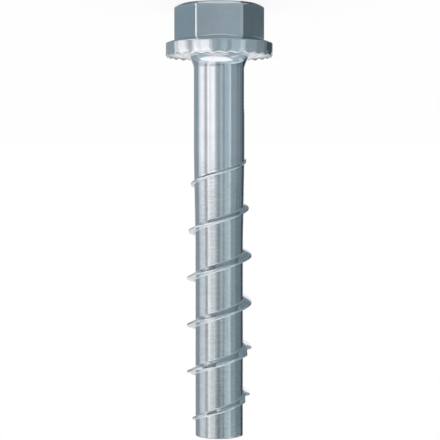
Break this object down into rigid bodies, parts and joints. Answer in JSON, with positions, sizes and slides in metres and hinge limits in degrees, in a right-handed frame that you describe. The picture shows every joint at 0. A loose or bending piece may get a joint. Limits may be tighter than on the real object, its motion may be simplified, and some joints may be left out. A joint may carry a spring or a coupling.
{
  "type": "concrete screw",
  "caption": "Steel concrete screw with a hexagon head, a toothed flange under it, a plain shank and a coarse notched thread that cuts into a drilled hole.",
  "frame": {"origin": "centre of the flat top of the head, on which the screw stands", "axes": "+Z along the screw from the head to the tip; a flat of the hexagon faces -Y and two of its corners lie on the X axis"},
  "size_m": [0.0204, 0.0204, 0.0824],
  "materials": {
    "zinc_plated_steel": "bright zinc plating over cold-forged and rolled steel, with fine marks along the axis"
  },
  "bodies": {
    "root": {"concrete_screw": "zinc_plated_steel"}
  },
  "joints": []
}
